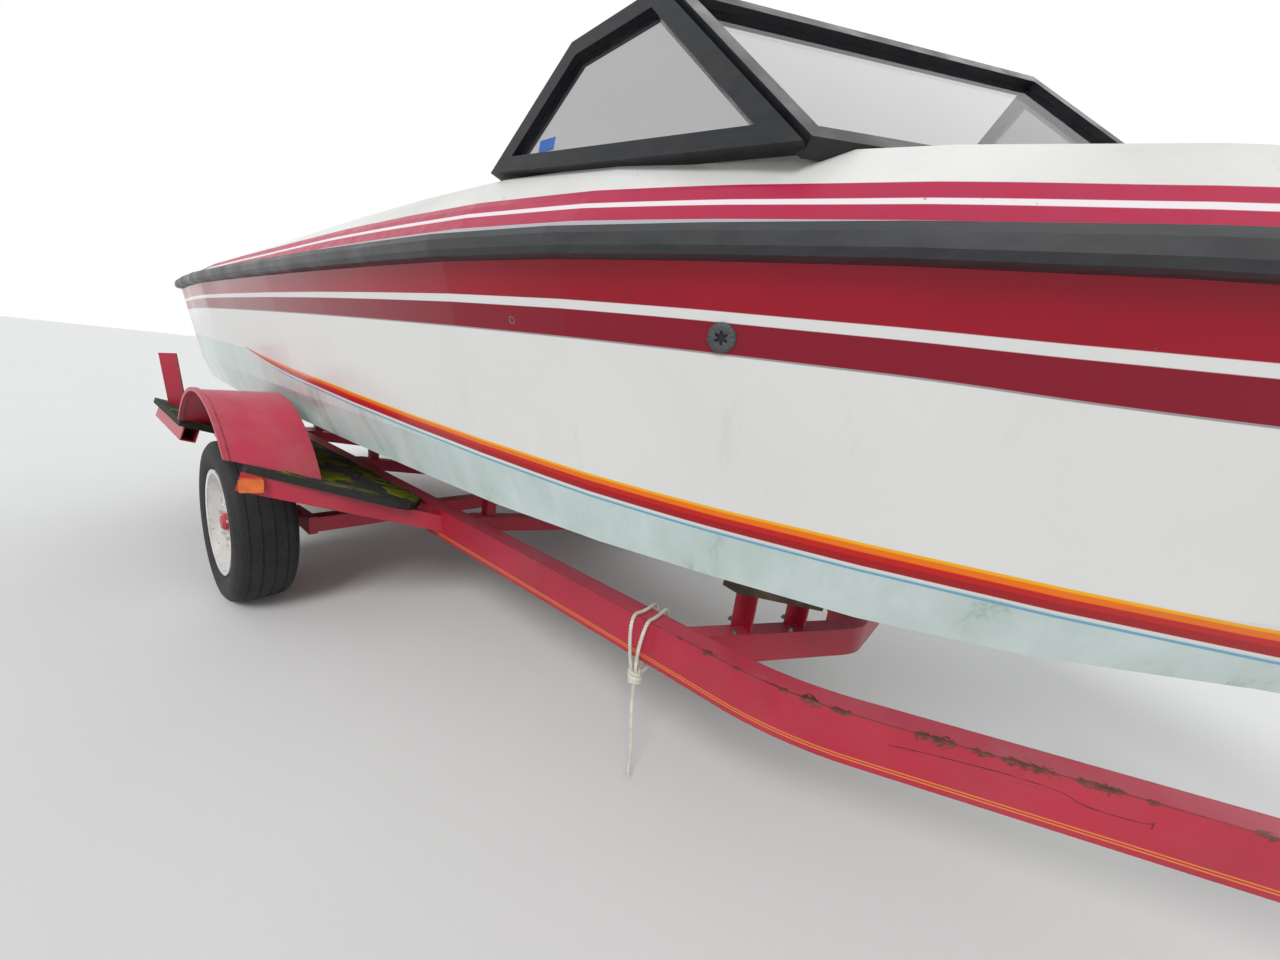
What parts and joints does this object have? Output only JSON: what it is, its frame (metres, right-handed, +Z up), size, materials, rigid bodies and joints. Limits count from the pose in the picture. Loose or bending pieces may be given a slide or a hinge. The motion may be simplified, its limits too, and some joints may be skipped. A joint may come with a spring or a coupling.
{
  "type": "sterndrive speedboat on a road trailer",
  "caption": "Closed-bow speedboat with a split windscreen, standing on a single-axle road trailer with jack, winch post and ball coupling.",
  "frame": {"origin": "on the ground under the middle of the whole length and width", "axes": "+X to the bow and coupling, +Y to port, +Z up"},
  "size_m": [6.94, 2.4044, 1.8431],
  "materials": {
    "gelcoat": "aged white gelcoat",
    "liner": "satin",
    "rub_rubber": "weathered",
    "dash_vinyl": "matt",
    "black_plastic": "satin",
    "engine_iron": "painted",
    "upholstery": "vinyl over foam",
    "dark_aluminium": "dark anodised",
    "smoked_glass": "lightly smoked",
    "drive_paint": "painted satin black",
    "drive_aluminium": "painted",
    "steel": "zinc plated",
    "tyre": "weathered",
    "rim_paint": "rust specks",
    "timber": "weathered",
    "black_rubber": "worn",
    "webbing": "woven",
    "red_lens": "lens",
    "amber_lens": "lens",
    "black_pad": "mossy",
    "trailer_paint": "faded crimson",
    "rope": "twisted"
  },
  "bodies": {
    "boat_and_trailer": {"aft_bench": "upholstery", "axle": "trailer_paint", "bow_eye": "steel", "bunks": "timber", "cockpit_liner": "liner", "coupler": "steel", "cross_members": "trailer_paint", "dash": "dash_vinyl", "deck": "gelcoat", "drawbar": "trailer_paint", "drive_housing": "drive_paint", "engine": "engine_iron", "fenders": "trailer_paint", "guide_posts": "trailer_paint", "hatch_hinges": "steel", "helm_boss": "black_plastic", "hull": "gelcoat", "hull_supports": "trailer_paint", "instruments": "black_plastic", "jack_tube": "steel", "lounge_seats": "upholstery", "outriggers": "trailer_paint", "port_rail": "trailer_paint", "rear_lights": "red_lens", "rollers": "black_rubber", "rope_tail": "rope", "rope_turns": "rope", "rub_rail": "rub_rubber", "screen_frame": "dark_aluminium", "screen_panes": "smoked_glass", "seat_bases": "liner", "side_markers": "amber_lens", "starboard_rail": "trailer_paint", "step_pads": "black_pad", "winch": "steel", "winch_post": "trailer_paint", "winch_strap": "webbing", "wing_frames": "dark_aluminium"},
    "port_wheel": {"port_tyre": "tyre", "port_rim": "rim_paint", "port_hub": "trailer_paint"},
    "starboard_wheel": {"starboard_tyre": "tyre", "starboard_rim": "rim_paint", "starboard_hub": "trailer_paint"},
    "steering_yoke": {"steering_yoke": "drive_paint"},
    "drive_leg": {"drive_leg": "drive_paint"},
    "propeller": {"propeller": "drive_aluminium"},
    "steering_wheel": {"steering_wheel": "black_plastic"},
    "hatch": {"hatch_lid": "gelcoat", "sun_pad": "upholstery"},
    "jack_slide": {"jack_leg": "steel"},
    "jack_castor": {"jack_fork": "steel"},
    "jack_wheel": {"jack_wheel": "black_rubber"}
  },
  "joints": [
    {"name": "port_wheel_spin", "type": "hinge", "parent": "boat_and_trailer", "child": "port_wheel", "pos_m": [-1.13, 1.075, 0.31], "axis": [0, 1, 0], "continuous": true},
    {"name": "starboard_wheel_spin", "type": "hinge", "parent": "boat_and_trailer", "child": "starboard_wheel", "pos_m": [-1.13, -1.075, 0.31], "axis": [0, 1, 0], "continuous": true},
    {"name": "drive_steer", "type": "hinge", "parent": "boat_and_trailer", "child": "steering_yoke", "pos_m": [-2.95829, 0, 0.76], "axis": [0, 0, 1], "range_deg": [-28, 28]},
    {"name": "drive_trim", "type": "hinge", "parent": "steering_yoke", "child": "drive_leg", "pos_m": [-3.06229, 0, 0.76], "axis": [0, 1, 0], "range_deg": [-4, 45]},
    {"name": "propeller_spin", "type": "hinge", "parent": "drive_leg", "child": "propeller", "pos_m": [-3.395, 0, 0.39], "axis": [1, 0, 0], "continuous": true},
    {"name": "helm_turn", "type": "hinge", "parent": "boat_and_trailer", "child": "steering_wheel", "pos_m": [0.27, -0.33, 1.29], "axis": [-0.9063, 0, 0.4226], "range_deg": [-540, 540]},
    {"name": "hatch_lift", "type": "hinge", "parent": "boat_and_trailer", "child": "hatch", "pos_m": [-2.824, 0, 1.327], "axis": [0, -1, 0], "range_deg": [0, 60]},
    {"name": "jack_raise", "type": "slide", "parent": "boat_and_trailer", "child": "jack_slide", "axis": [0, 0, 1], "range_m": [0, 0.15]},
    {"name": "castor_swivel", "type": "hinge", "parent": "jack_slide", "child": "jack_castor", "pos_m": [2.85, 0.082, 0.2], "axis": [0, 0, 1], "continuous": true},
    {"name": "jack_wheel_spin", "type": "hinge", "parent": "jack_castor", "child": "jack_wheel", "pos_m": [2.795, 0.082, 0.1], "axis": [0, 1, 0], "continuous": true}
  ],
  "couplings": [
    {"joint": "drive_steer", "follows": "helm_turn", "ratio": 0.051852}
  ]
}
